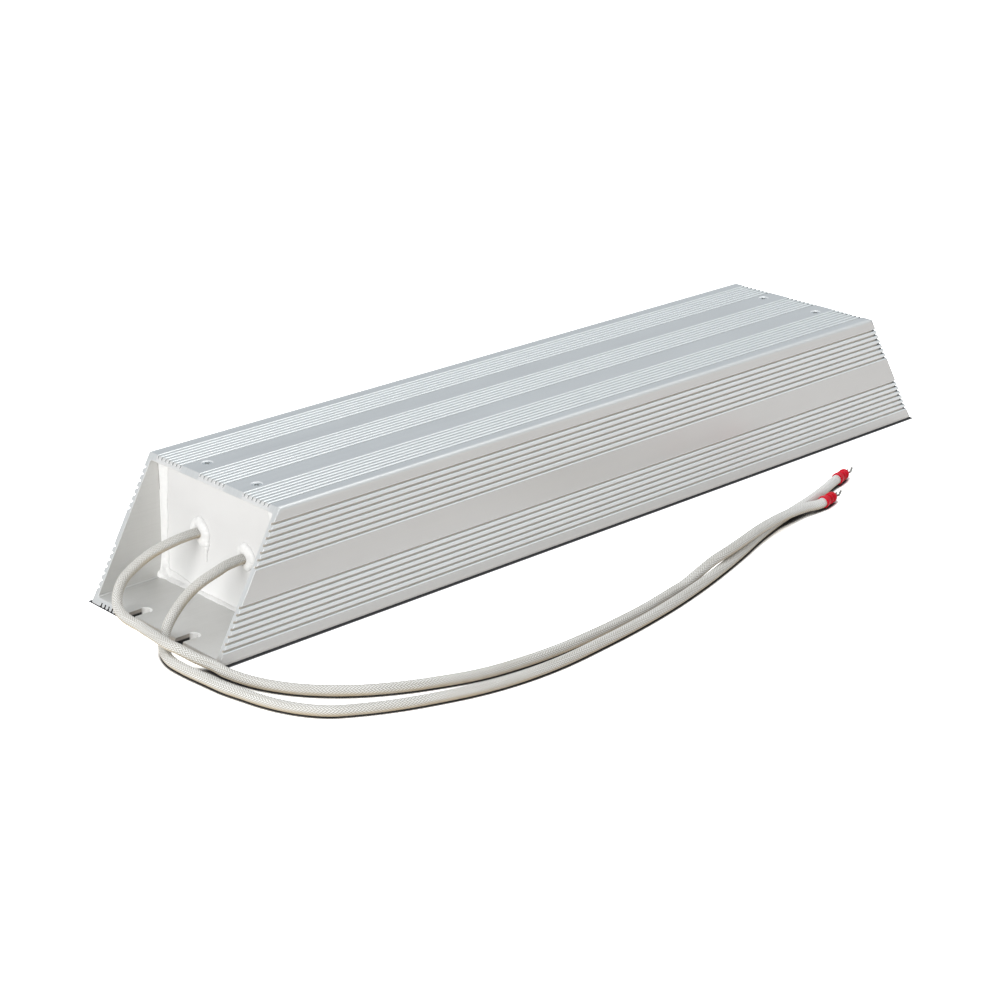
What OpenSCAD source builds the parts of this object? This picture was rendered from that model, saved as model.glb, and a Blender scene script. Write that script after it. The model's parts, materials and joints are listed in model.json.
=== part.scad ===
// Aluminium housed power resistor: a ribbed extrusion with mitred ends holds two wound
// ceramic cores in series. Folded plates close both ends, and two braided leads with fork
// terminals come out of one of them and lie loosely in front of the housing.
// X runs along the length with the leads at -X, Y across the width, Z up, in millimetres.
// The origin is under the middle of the housing, on the surface that it stands on.

/* [Housing] */
// Length of the housing along its underside
housing_len = 475; // [460:5:490]
// Width across the two ribbed sides
housing_w = 100; // [98:1:110]
// Height from the underside to the top
housing_h = 65; // [64:1:72]
// Thickness of all four walls
wall = 3; // [2.5:0.5:4]
// Angle between the underside and the mitred ends
mitre_angle = 60; // [58:1:61]
// Radius of the four long outer edges
edge_r = 0.6; // [0.4:0.1:2]
// Radius of the four long inner edges
inner_r = 1; // [0.5:0.5:1.5]

/* [Ribs] */
// Distance from one groove to the next
groove_pitch = 2.95; // [2.7:0.05:3]
// Number of grooves in a band
groove_count = 7; // [3:1:7]
// Width of a groove between its walls
groove_w = 1; // [0.8:0.1:1.2]
// Depth of a groove
groove_d = 1.6; // [1.2:0.1:1.8]
// Rounding of the rib shoulders
rib_r = 0.6; // [0.3:0.1:0.7]
// Distance between the three bands on the top and underside
top_band_pitch = 33.5; // [32:0.5:34.5]
// Distance between the two bands on each side
side_band_pitch = 34; // [30:0.5:36]

/* [Foot slots] */
// Width of the open slots that take the fixing screws
slot_w = 5.6; // [4.4:0.1:6.6]
// Distance between the two slots of one end
slot_pitch = 38; // [30:1:60]
// From the end of the housing to the centre of the slot's round end
slot_reach = 8.4; // [6:0.1:12]

/* [End plates] */
// Thickness of the folded end plates
plate_t = 1.5; // [1:0.1:2]
// How far the plates stand back from the top's edge
plate_margin = 2.2; // [1:0.1:3]
// Gap between a plate and the side walls
plate_gap = 0.3; // [0.1:0.1:0.5]
// Outer radius of the fold
fold_r = 2.5; // [2.1:0.1:4]
// Length of the flange under the top wall
flange_len = 16; // [14:1:18]

/* [Screws] */
// Thread diameter of the countersunk screws
screw_d = 3; // [2.5:0.5:4]
// Diameter of the countersunk head
screw_head_d = 5; // [4.8:0.1:7]
// Length of a screw
screw_len = 5; // [5:0.5:8]
// Distance between the two screws of one end
screw_pitch = 38; // [34:1:40]
// From the top's edge to a screw
screw_inset = 10.5; // [8:0.5:12]

/* [Sealant] */
// Width of the bead on the end plate
bead_on_plate = 5.5; // [3:0.5:7]
// Width of the bead on the walls
bead_on_wall = 2; // [1:0.5:3]
// Diameter of the collar round a lead
collar_d = 13.5; // [9:0.5:15]
// How far the collar stands out from the plate
collar_h = 2.2; // [1.5:0.1:4]

/* [Resistance element] */
// Outside diameter of the ceramic cores
core_d = 30; // [24:1:32]
// Bore of the ceramic cores
core_bore = 16; // [10:1:18]
// Distance between the two cores
core_pitch = 43; // [40:1:44]
// Room between an end plate and the cores
end_room = 28.5; // [28:0.5:32]
// Distance from one turn of ribbon to the next
turn_pitch = 4.5; // [3:0.5:8]
// Width of the resistance ribbon
ribbon_w = 2.8; // [1.5:0.1:2.8]
// Thickness of the resistance ribbon
ribbon_t = 0.6; // [0.3:0.1:0.7]
// Width of the terminal bands round the cores
band_w = 6; // [4:1:8]
// Thickness of the mica liner
liner_t = 0.8; // [0.5:0.1:1]

/* [Leads] */
// Diameter of the braided leads
lead_d = 5; // [4:0.5:5]
// Diameter of the terminal sleeves at the mouth
sleeve_d = 6.2; // [5.8:0.1:6.6]
// Length of the terminal sleeves
sleeve_len = 11; // [10:0.5:12]
// Width of the fork
fork_w = 4.2; // [3.8:0.1:5]
// Width of the slot in the fork
fork_slot = 1.9; // [1.4:0.1:2.2]

/* [Hidden] */

$fn = 64;
inner_w = housing_w - 2 * wall;
inner_h = housing_h - 2 * wall;
mid_z = housing_h / 2;
top_z = housing_h - wall;

// Half the housing's length at a height z, between the mitred ends
function half_len(z) = housing_len / 2 - z / tan(mitre_angle);

plate_x = half_len(housing_h) - plate_margin;
plate_inner_x = plate_x - plate_t;
screw_x = half_len(housing_h) - screw_inset;
screw_sink = 0.4;
screw_play = 0.4;
liner_x = plate_inner_x - flange_len - 0.5;

core_x = plate_x - end_room;
core_len = 2 * core_x;
core_r = core_d / 2;
support_t = 6;
boss_len = 5;
boss_bore = 8;
band_t = 1;
band_inset = 2;
band_x = core_x - band_inset - band_w;
coat_t = 0.3;
turns = floor(2 * band_x / turn_pitch);

tab_w = 5;
tab_t = 1.2;
tab_z = mid_z + core_r;
window_play = 0.4;
splice_d = 6;
splice_len = 6;
lead_start = 7.5;
lug_w = 4.5;
lug_t = 1.5;

lead_r = lead_d / 2;
lead_sides = 10;
lead_hole_d = lead_d + 0.6;
lead_grip = 2.5;
barrel_r = 1.8;
tongue_t = 0.8;
tongue_len = 6;
tongue_roll = -35;

// Where each lead leaves the end plate, across and up
exit_1 = [17, 33.5];
exit_2 = [-18, 31];

// Routes of the lead centrelines, with X measured from the housing's lead end. Each lead runs
// straight out of its seal, over the edge of the floor, past the near corner and along the front.
route_1 = [
    [30, 17.5, 33], [26, 18.5, 32], [18, 22, 28.5], [11, 26.5, 22.5], [4, 28.5, 16],
    [-0.5, 26.5, 10.5], [-3.5, 21.5, 7], [-5.5, 11.5, 5.5], [-6, -1, 5.5], [-10, -19, 8],
    [-10.3, -33, 7.9], [-6.4, -43, 5], [-3, -51, 3.1], [-2.4, -60, 2.5],
    [2, -78.5, 2.5], [6, -87, 2.5], [11, -95, 2.5], [19, -104.5, 2.5], [28.5, -113, 2.5],
    [43, -122.5, 2.5], [58.5, -130, 2.5], [76, -136.5, 2.5], [95.5, -140, 2.5],
    [118.5, -141.5, 2.5], [144, -140.5, 2.5], [172, -137.5, 2.5], [204.5, -131.5, 2.7],
    [220.5, -129, 5.2], [231.5, -127, 6.8], [241.5, -125.5, 7.6], [256, -122, 7.7],
    [277.5, -116, 7.4], [295.5, -112, 6.7], [308.5, -109.5, 5.6], [321, -107.8, 4.3],
    [332.25, -107.75, 3.3], [333.5, -107.5, 3.3]];
route_2 = [
    [30, -18.5, 30.7], [24, -19, 29.5], [17, -17.5, 26.5], [11.5, -14, 21], [6.5, -11.5, 14.5],
    [1, -12, 8.8], [-4.5, -16, 4.8], [-9.5, -23.5, 2.6], [-13, -33.5, 2.5], [-13.5, -44.5, 2.5],
    [-12.5, -60, 2.5], [-11.5, -72, 2.5], [-9.5, -82, 2.5], [-7.5, -91.5, 2.5],
    [-4.5, -101, 2.5], [-0.5, -109.5, 2.5], [7.5, -120, 2.5], [17.5, -127, 2.5],
    [32.5, -135, 2.5], [49, -141.5, 2.5], [66.5, -147, 2.5], [86, -150.5, 2.5],
    [109, -151.5, 2.5], [135, -149.5, 2.5], [163.5, -146, 2.5], [195.5, -140, 2.5],
    [213.5, -135.5, 2.5], [234, -129.5, 2.5], [256.5, -122, 2.5], [279.5, -113.5, 2.5],
    [299.5, -107.5, 2.5], [317.5, -103, 2.5], [333, -99.5, 2.5], [347, -95.8, 2.7],
    [362.25, -91.35, 3.3], [363.5, -91, 3.3]];

function unit(v) = v / norm(v);

// A whole centreline in the housing's frame: the straight run through the plate and collar,
// then the hand-laid route up to the mouth of the terminal, then the short run inside it
function lead_path(exit, route) =
    let (last = len(route) - 1, mouth = route[last])
    concat(
        [[-plate_x + lead_start, exit[0], exit[1]],
            [-plate_x - collar_h - 0.4, exit[0], exit[1]]],
        [for (p = route) p - [housing_len / 2, 0, 0]],
        [mouth + lead_grip * unit(mouth - route[last - 1]) - [housing_len / 2, 0, 0]]);

path_1 = lead_path(exit_1, route_1);
path_2 = lead_path(exit_2, route_2);

// Direction of a path at point i: the mean of the runs before and after it
function heading(path, i) =
    let (last = len(path) - 1)
    unit((i < last ? unit(path[i + 1] - path[i]) : [0, 0, 0])
        + (i > 0 ? unit(path[i] - path[i - 1]) : [0, 0, 0]));

// One ring of points round the centreline, with a point at the very bottom
function ring(path, i, r) =
    let (t = heading(path, i), across = unit(cross(t, [0, 0, 1])), up = cross(across, t))
    [for (k = [0 : lead_sides - 1])
        let (a = 90 + 360 * k / lead_sides) path[i] + r * (cos(a) * across + sin(a) * up)];

// Repeats its children at the blank end as drawn, and mirrored at the lead end
module both_ends() {
    children();
    mirror([1, 0, 0]) children();
}

// Repeats its children on the +Y side as drawn, and mirrored on the -Y side
module both_sides() {
    children();
    mirror([0, 1, 0]) children();
}

// Turns a section drawn in Y and Z into a bar along X from x0 to x1
module bar(x0, x1) {
    translate([x0, 0, 0]) rotate([90, 0, 90]) linear_extrude(height = x1 - x0) children();
}

// Turns a profile drawn in X and Z into a bar across Y
module across(w) {
    rotate([90, 0, 0]) linear_extrude(height = w, center = true) children();
}

// A rectangle that stands on the Y axis, with its four corners rounded
module rounded_rect(w, h, r) {
    for (side = [-1, 1], z = [r, h - r]) {
        translate([side * (w / 2 - r), z]) circle(r = r);
    }
    translate([-w / 2, r]) square([w, h - 2 * r]);
    translate([r - w / 2, 0]) square([w - 2 * r, h]);
}

// The section of the hollow inside the housing
module hollow_section() {
    translate([0, wall]) rounded_rect(inner_w, inner_h, inner_r);
}

// One groove, cut down from the line y = 0, with the shoulders of its ribs rounded
module groove() {
    mouth = groove_w / 2 + rib_r;
    translate([-groove_w / 2, -groove_d]) square([groove_w, groove_d + 1]);
    difference() {
        translate([-mouth, -rib_r]) square([2 * mouth, rib_r + 1]);
        for (side = [-1, 1]) {
            translate([side * mouth, -rib_r]) circle(r = rib_r, $fn = 24);
        }
    }
}

// A band of evenly spaced grooves, centred on the origin
module groove_band() {
    for (i = [0 : groove_count - 1]) {
        translate([(i - (groove_count - 1) / 2) * groove_pitch, 0]) groove();
    }
}

// The extrusion's section: a hollow rectangle with three bands of ribs on its top and
// underside and two on each side, parted by plain strips
module extrusion_section() {
    difference() {
        rounded_rect(housing_w, housing_h, edge_r);
        hollow_section();
        for (i = [-1 : 1]) {
            translate([i * top_band_pitch, housing_h]) groove_band();
            translate([i * top_band_pitch, 0]) rotate(180) groove_band();
        }
        for (side = [-1, 1], i = [-0.5, 0.5]) {
            translate([side * housing_w / 2, mid_z + i * side_band_pitch])
                rotate(-90 * side) groove_band();
        }
    }
}

// An open slot in the floor, round at its inner end
module foot_slot() {
    translate([housing_len / 2 - slot_reach, slot_pitch / 2, -1]) {
        cylinder(d = slot_w, h = wall + 2);
        translate([0, -slot_w / 2, 0]) cube([slot_reach + 1, slot_w, wall + 2]);
    }
}

// Clearance hole and countersink for one screw in the top wall
module screw_hole() {
    hole_r = (screw_d + screw_play) / 2;
    over = 0.5;
    depth = screw_head_d / 2 - hole_r + screw_sink;
    translate([screw_x, screw_pitch / 2, housing_h]) {
        translate([0, 0, -wall - 1]) cylinder(r = hole_r, h = wall + 1);
        translate([0, 0, -depth])
            cylinder(r1 = hole_r, r2 = hole_r + depth + over, h = depth + over);
    }
}

// The ribbed aluminium extrusion, cut to a mitre at both ends
module housing() {
    color("silver") difference() {
        intersection() {
            bar(-housing_len / 2, housing_len / 2) extrusion_section();
            across(housing_w + 2) polygon([
                [-half_len(-1), -1], [half_len(-1), -1],
                [half_len(housing_h + 1), housing_h + 1],
                [-half_len(housing_h + 1), housing_h + 1]]);
        }
        both_ends() both_sides() {
            foot_slot();
            screw_hole();
        }
    }
}

// A folded plate that closes the blank end, with its flange turned in under the top wall
module end_plate() {
    difference() {
        intersection() {
            across(inner_w) {
                translate([plate_inner_x, wall]) square([plate_t, inner_h - fold_r]);
                translate([plate_inner_x - flange_len, top_z - plate_t])
                    square([flange_len + plate_t - fold_r, plate_t]);
                translate([plate_x - fold_r, top_z - fold_r]) intersection() {
                    difference() {
                        circle(r = fold_r);
                        circle(r = fold_r - plate_t);
                    }
                    square(fold_r);
                }
            }
            bar(0, housing_len / 2) translate([0, wall])
                rounded_rect(inner_w - 2 * plate_gap, inner_h, 2);
        }
        both_sides() translate([screw_x, screw_pitch / 2, top_z - plate_t - 1])
            cylinder(d = screw_d, h = plate_t + 2);
    }
}

module blank_end_plate() {
    color("whitesmoke") end_plate();
}

module lead_end_plate() {
    color("whitesmoke") difference() {
        mirror([1, 0, 0]) end_plate();
        for (exit = [exit_1, exit_2]) {
            translate([-plate_x - 1, exit[0], exit[1]]) rotate([0, 90, 0])
                cylinder(d = lead_hole_d, h = plate_t + 2);
        }
    }
}

// A countersunk screw with a cross recess, its head sunk a little below z = 0
module countersunk_screw() {
    cone_h = (screw_head_d - screw_d) / 2;
    recess = 0.7;
    recess_depth = 1;
    difference() {
        translate([0, 0, -screw_sink]) {
            translate([0, 0, -cone_h])
                cylinder(r1 = screw_d / 2, r2 = screw_head_d / 2, h = cone_h);
            translate([0, 0, -screw_len]) cylinder(d = screw_d, h = screw_len - cone_h);
        }
        for (a = [0, 90]) {
            rotate(a) translate([-screw_d / 2, -recess / 2, -screw_sink - recess_depth])
                cube([screw_d, recess, 2]);
        }
    }
}

// The four screws that hold the end plates
module end_plate_screws() {
    color("gainsboro") both_ends() both_sides()
        translate([screw_x, screw_pitch / 2, housing_h]) countersunk_screw();
}

// Section of the bead: out along the wall in X, in along the plate in Y
module bead_section() {
    polygon([[0, 0], [bead_on_wall, 0], [0, bead_on_plate]]);
}

// The bead that seals the blank end's plate to the side walls and the floor
module perimeter_bead() {
    intersection() {
        union() {
            both_sides() translate([plate_x, -inner_w / 2, wall])
                linear_extrude(height = inner_h) bead_section();
            translate([plate_x, inner_w / 2, wall]) rotate([90, 0, 0])
                linear_extrude(height = inner_w) bead_section();
        }
        bar(0, housing_len / 2) hollow_section();
    }
}

module blank_end_seal() {
    color("white") perimeter_bead();
}

module lead_end_seal() {
    color("white") mirror([1, 0, 0]) perimeter_bead();
}

// The domed collar of sealant round a lead where it leaves the plate
module lead_collar(exit) {
    dome = [for (a = [0 : 15 : 90])
        [lead_r + (collar_d / 2 - lead_r) * cos(a), collar_h * sin(a)]];
    translate([-plate_x, exit[0], exit[1]]) rotate([0, -90, 0])
        rotate_extrude() polygon(concat([[lead_r, 0]], dome));
}

module lead_1_seal() {
    color("white") lead_collar(exit_1);
}

module lead_2_seal() {
    color("white") lead_collar(exit_2);
}

// The rectangular mica sleeve between the element and the housing
module mica_liner() {
    color("tan") bar(-liner_x, liner_x) difference() {
        hollow_section();
        translate([0, wall + liner_t])
            rounded_rect(inner_w - 2 * liner_t, inner_h - 2 * liner_t, 0.2);
    }
}

// A ceramic plate inside the liner, with a hollow boss in the bore of each core
module core_support() {
    difference() {
        union() {
            bar(core_x, core_x + support_t) translate([0, wall + liner_t])
                rounded_rect(inner_w - 2 * liner_t, inner_h - 2 * liner_t, 0.2);
            both_sides() translate([core_x - boss_len, core_pitch / 2, mid_z])
                rotate([0, 90, 0]) cylinder(d = core_bore, h = boss_len + 1);
        }
        both_sides() translate([core_x - boss_len - 1, core_pitch / 2, mid_z])
            rotate([0, 90, 0]) cylinder(d = boss_bore, h = boss_len + support_t + 2);
    }
}

module blank_end_support() {
    color("ivory") core_support();
}

// The lead end's support also has a window for each lead's strip
module lead_end_support() {
    play = window_play;
    color("ivory") difference() {
        mirror([1, 0, 0]) core_support();
        for (exit = [exit_1, exit_2]) {
            translate([-core_x - support_t - 1, exit[0] - tab_w / 2 - play, tab_z - play])
                cube([support_t + 2, tab_w + 2 * play, tab_t + 2 * play]);
        }
    }
}

// A ceramic tube on the given side
module core(side) {
    translate([0, side * core_pitch / 2, mid_z]) rotate([0, 90, 0]) difference() {
        cylinder(r = core_r, h = core_len, center = true);
        cylinder(d = core_bore, h = core_len + 2, center = true);
    }
}

module core_1() {
    color("linen") core(1);
}

module core_2() {
    color("linen") core(-1);
}

// The ribbon's turns along one core, bedded in a thin coat of cement, from band to band
module winding(side) {
    coat_r = core_r + coat_t;
    ribbon_r = coat_r + ribbon_t;
    gap = (2 * band_x - turns * turn_pitch) / 2;
    edge = gap + (turn_pitch - ribbon_w) / 2;
    crests = [for (i = [0 : turns - 1]) let (z = edge + i * turn_pitch) each
        [[coat_r, z], [ribbon_r, z], [ribbon_r, z + ribbon_w], [coat_r, z + ribbon_w]]];
    translate([-band_x, side * core_pitch / 2, mid_z]) rotate([0, 90, 0]) rotate_extrude()
        polygon(concat([[core_r, 0], [coat_r, 0]], crests,
            [[coat_r, 2 * band_x], [core_r, 2 * band_x]]));
}

module winding_1() {
    color("slategray") winding(1);
}

module winding_2() {
    color("slategray") winding(-1);
}

// A steel band clamped round the blank end of the core on the given side
module core_band(side) {
    translate([band_x, side * core_pitch / 2, mid_z]) rotate([0, 90, 0]) difference() {
        cylinder(r = core_r + band_t, h = band_w);
        translate([0, 0, -1]) cylinder(r = core_r, h = band_w + 2);
    }
}

// A band at the lead end, with the strip that runs through the support and down to the lead
module lead_band(side, exit) {
    strip_end = -plate_x + lead_start + splice_len;
    mirror([1, 0, 0]) core_band(side);
    translate([strip_end, exit[0] - tab_w / 2, tab_z])
        cube([-band_x - strip_end, tab_w, tab_t]);
    translate([strip_end, exit[0] - tab_w / 2, exit[1] - splice_d / 2])
        cube([tab_t, tab_w, tab_z + tab_t - exit[1] + splice_d / 2]);
}

module lead_1_band() {
    color("lightsteelblue") lead_band(1, exit_1);
}

module lead_2_band() {
    color("lightsteelblue") lead_band(-1, exit_2);
}

// A band at the blank end, with a lug towards the other core
module link_band(side) {
    lug_start = core_pitch / 2 - core_r - band_t / 2;
    core_band(side);
    translate([band_x, side > 0 ? lug_start - lug_w : -lug_start, mid_z - lug_t / 2])
        cube([band_w, lug_w, lug_t]);
}

module link_1_band() {
    color("lightsteelblue") link_band(1);
}

module link_2_band() {
    color("lightsteelblue") link_band(-1);
}

// The bar welded across both lugs, which puts the two windings in series
module series_link() {
    link_w = core_pitch - core_d - 2 * band_t - 1;
    color("lightsteelblue")
        translate([band_x, -link_w / 2, mid_z + lug_t / 2]) cube([band_w, link_w, lug_t]);
}

// The crimped joint between a lead and its strip
module splice(exit) {
    translate([-plate_x + lead_start, exit[0], exit[1]]) rotate([0, 90, 0])
        cylinder(d = splice_d, h = splice_len);
}

module lead_1_splice() {
    color("lightgray") splice(exit_1);
}

module lead_2_splice() {
    color("lightgray") splice(exit_2);
}

// The sleeve of space that a winding takes up round its core
module winding_envelope() {
    rotate([0, 90, 0]) difference() {
        cylinder(r = core_r + coat_t + ribbon_t, h = 2 * band_x, center = true);
        cylinder(r = core_r - 1, h = core_len, center = true);
    }
}

// The set filler that fills the housing round the element and carries its heat to the walls
module filler() {
    color("antiquewhite") difference() {
        bar(-plate_inner_x, plate_inner_x) hollow_section();
        both_ends() translate([plate_inner_x - flange_len - 1, -housing_w / 2, top_z - fold_r])
            cube([flange_len + 2, housing_w, wall]);
        mica_liner();
        lead_end_support();
        blank_end_support();
        core(1);
        core(-1);
        both_sides() translate([0, core_pitch / 2, mid_z]) winding_envelope();
        lead_band(1, exit_1);
        lead_band(-1, exit_2);
        link_band(1);
        link_band(-1);
        series_link();
        for (exit = [exit_1, exit_2]) {
            splice(exit);
            translate([-plate_x, exit[0], exit[1]]) rotate([0, 90, 0])
                cylinder(d = lead_d, h = lead_start);
        }
    }
}

// A lead as a tube swept along its centreline
module lead(path) {
    last = len(path) - 1;
    n = lead_sides;
    points = [for (i = [0 : last]) each ring(path, i, lead_r)];
    sides = [for (i = [0 : last - 1], k = [0 : n - 1]) let (j = (k + 1) % n) each
        [[i * n + k, i * n + j, (i + 1) * n + j], [i * n + k, (i + 1) * n + j, (i + 1) * n + k]]];
    start = [for (k = [0 : n - 1]) n - 1 - k];
    end = [for (k = [0 : n - 1]) last * n + k];
    polyhedron(points = points, faces = concat(sides, [start, end]), convexity = 10);
}

module lead_1() {
    color("ivory") lead(path_1);
}

module lead_2() {
    color("ivory") lead(path_2);
}

// Puts its children at the end of a lead, with the mouth of the sleeve at the origin and the
// terminal along +X
module at_terminal(path) {
    mouth = path[len(path) - 2];
    tip = path[len(path) - 1];
    translate(mouth) rotate([0, 0, atan2(tip[1] - mouth[1], tip[0] - mouth[0])]) children();
}

// The insulating sleeve of a terminal: a bell mouth over the lead, two crimps, a round end
module terminal_sleeve() {
    mouth_r = sleeve_d / 2;
    body_r = mouth_r - 0.5;
    crimp_r = body_r - 0.25;
    rotate([0, 90, 0]) rotate_extrude() polygon([
        [lead_r, 0], [mouth_r - 0.2, 0], [mouth_r, 0.3], [mouth_r, 1.4], [body_r + 0.2, 3],
        [body_r, 3.6], [crimp_r, 4.2], [crimp_r, 5], [body_r, 5.6], [body_r, 6.2],
        [crimp_r, 6.8], [crimp_r, 7.6], [body_r, 8.2], [body_r, sleeve_len - 1.6],
        [body_r - 0.25, sleeve_len - 0.7], [body_r - 0.6, sleeve_len], [barrel_r, sleeve_len],
        [barrel_r, lead_grip], [lead_r, lead_grip]]);
}

module terminal_1_sleeve() {
    color("crimson") at_terminal(path_1) terminal_sleeve();
}

module terminal_2_sleeve() {
    color("crimson") at_terminal(path_2) terminal_sleeve();
}

// The tinned fork: a barrel inside the sleeve, then a bent tongue with an open slot
module terminal_fork() {
    neck = sleeve_len + 1.5;
    tip = sleeve_len + tongue_len;
    dip = 1;
    translate([lead_grip, 0, 0]) rotate([0, 90, 0])
        cylinder(r = barrel_r, h = sleeve_len - lead_grip);
    rotate([tongue_roll, 0, 0]) intersection() {
        across(fork_w + 2) polygon([
            [sleeve_len - 1, -tongue_t / 2], [sleeve_len, -tongue_t / 2],
            [neck + 1, -dip - tongue_t / 2], [tip, dip / 2 - tongue_t / 2],
            [tip, dip / 2 + tongue_t / 2], [neck + 1, -dip + tongue_t / 2],
            [sleeve_len, tongue_t / 2], [sleeve_len - 1, tongue_t / 2]]);
        translate([0, 0, -fork_w]) linear_extrude(height = 2 * fork_w) difference() {
            union() {
                translate([sleeve_len - 1, -1.2]) square([3, 2.4]);
                translate([neck, -fork_w / 2]) square([tip - neck + 1, fork_w]);
            }
            translate([neck + 2, 0]) circle(d = fork_slot);
            translate([neck + 2, -fork_slot / 2]) square([tip, fork_slot]);
        }
    }
}

module terminal_1_fork() {
    color("darkgray") at_terminal(path_1) terminal_fork();
}

module terminal_2_fork() {
    color("darkgray") at_terminal(path_2) terminal_fork();
}

housing();
lead_end_plate();
blank_end_plate();
end_plate_screws();
lead_end_seal();
blank_end_seal();
lead_1_seal();
lead_2_seal();
mica_liner();
lead_end_support();
blank_end_support();
core_1();
core_2();
winding_1();
winding_2();
lead_1_band();
lead_2_band();
link_1_band();
link_2_band();
series_link();
lead_1_splice();
lead_2_splice();
filler();
lead_1();
lead_2();
terminal_1_sleeve();
terminal_2_sleeve();
terminal_1_fork();
terminal_2_fork();
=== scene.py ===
import json
import math
from types import SimpleNamespace

import bmesh
import bpy
import numpy as np
from mathutils import Euler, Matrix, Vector

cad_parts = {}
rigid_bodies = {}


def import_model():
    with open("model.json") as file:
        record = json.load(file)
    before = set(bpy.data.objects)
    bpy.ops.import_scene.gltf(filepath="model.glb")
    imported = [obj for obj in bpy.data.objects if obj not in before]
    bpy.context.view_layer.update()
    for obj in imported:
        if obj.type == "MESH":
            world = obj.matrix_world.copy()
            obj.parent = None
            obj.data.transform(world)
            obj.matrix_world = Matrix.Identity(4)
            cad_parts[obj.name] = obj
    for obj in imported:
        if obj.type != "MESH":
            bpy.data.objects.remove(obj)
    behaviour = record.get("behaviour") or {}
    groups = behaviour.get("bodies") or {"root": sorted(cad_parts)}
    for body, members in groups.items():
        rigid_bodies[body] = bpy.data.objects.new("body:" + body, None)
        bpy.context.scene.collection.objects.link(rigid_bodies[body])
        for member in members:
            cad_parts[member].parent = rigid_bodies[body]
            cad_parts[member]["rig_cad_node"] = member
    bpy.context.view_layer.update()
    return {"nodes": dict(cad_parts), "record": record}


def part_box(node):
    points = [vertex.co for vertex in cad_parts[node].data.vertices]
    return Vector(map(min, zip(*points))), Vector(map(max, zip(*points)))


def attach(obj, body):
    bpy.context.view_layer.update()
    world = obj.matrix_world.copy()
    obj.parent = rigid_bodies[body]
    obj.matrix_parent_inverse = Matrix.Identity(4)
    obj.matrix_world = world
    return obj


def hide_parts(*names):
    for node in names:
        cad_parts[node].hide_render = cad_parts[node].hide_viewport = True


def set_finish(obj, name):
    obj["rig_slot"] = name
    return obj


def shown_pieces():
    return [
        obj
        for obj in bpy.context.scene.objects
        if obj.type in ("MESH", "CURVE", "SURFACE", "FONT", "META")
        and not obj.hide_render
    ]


MM = 0.001
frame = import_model()

# The housing in millimetres, as in the CAD
HALF_LENGTH = 237.5
HALF_WIDTH = 50.0
MID_HEIGHT = 32.5
MITRE = 0.57735  # how far an end leans in for each millimetre of height
OUTER_BAND_Y = 33.5
SIDE_BAND_Z = 17.0  # above and below the middle height
SCREW_X = 189.47
SLOT_X = 229.1  # the centre of a slot's round end
HOLE_Y = 19.0  # of the screws and of the slots
PLATE_X = round(-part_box("lead_end_plate")[0][0] / MM, 2)

# ---------------------------------------------------------------- camera

camera_data = bpy.data.cameras.new("camera")
camera_data.lens = 84.16
camera_data.sensor_width = 36.0
camera_data.clip_start = 0.05
camera_data.clip_end = 30.0
camera = bpy.data.objects.new("camera", camera_data)
camera.location = (-0.75857, -0.82, 0.43661)
camera.rotation_euler = Euler([math.radians(a) for a in (68.6819, 0.7628, -42.0395)], "XYZ")
bpy.context.scene.collection.objects.link(camera)
bpy.context.scene.camera = camera

# ---------------------------------------------------------------- mesh helpers


def new_piece(name, verts, faces, uvs=None):
    """A mesh object that rides on the part's one body. uvs holds one pair for each face corner."""
    mesh = bpy.data.meshes.new(name)
    mesh.from_pydata([tuple(v) for v in verts], [], [tuple(f) for f in faces])
    if uvs is not None:
        layer = mesh.uv_layers.new(name="UVMap")
        layer.data.foreach_set("uv", np.asarray(uvs, np.float32).ravel())
    mesh.polygons.foreach_set("use_smooth", [True] * len(mesh.polygons))
    mesh.update()
    piece = bpy.data.objects.new(name, mesh)
    bpy.context.scene.collection.objects.link(piece)
    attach(piece, "root")
    return piece


def smooth_route(points, step):
    """Evenly spaced points on a smooth curve through the route. The height is interpolated without overshoot, so that
    the curve never dips below the surface that it lies on."""
    p = np.array(points, float)
    h = np.linalg.norm(np.diff(p, axis=0), axis=1)
    slope = np.diff(p, axis=0) / h[:, None]
    m = np.zeros_like(p)
    m[0], m[-1] = slope[0], slope[-1]
    for i in range(1, len(p) - 1):
        m[i] = (slope[i] * h[i - 1] + slope[i - 1] * h[i]) / (h[i - 1] + h[i])
        a, b = slope[i - 1][2], slope[i][2]
        m[i][2] = 0.0 if a * b <= 0 else 2 * a * b / (a + b)
    dense = []
    for i in range(len(p) - 1):
        for s in np.linspace(0, 1, 60, endpoint=False):
            dense.append(
                (2 * s**3 - 3 * s**2 + 1) * p[i]
                + (s**3 - 2 * s**2 + s) * h[i] * m[i]
                + (3 * s**2 - 2 * s**3) * p[i + 1]
                + (s**3 - s**2) * h[i] * m[i + 1]
            )
    dense.append(p[-1])
    dense = np.array(dense)
    run = np.concatenate([[0], np.cumsum(np.linalg.norm(np.diff(dense, axis=0), axis=1))])
    n = int(round(run[-1] / step))
    at = np.linspace(0, run[-1], n + 1)
    return np.stack([np.interp(at, run, dense[:, k]) for k in range(3)], 1), at


def frames_along(path):
    """Tangent and two normals at each point, carried along without twist."""
    tangent = np.gradient(path, axis=0)
    tangent /= np.linalg.norm(tangent, axis=1)[:, None]
    side = np.zeros_like(path)
    first = np.cross(tangent[0], (0, 0, 1))
    side[0] = first / np.linalg.norm(first)
    for i in range(1, len(path)):
        s = side[i - 1] - tangent[i] * (side[i - 1] @ tangent[i])
        side[i] = s / np.linalg.norm(s)
    return tangent, side, np.cross(tangent, side)


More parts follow.
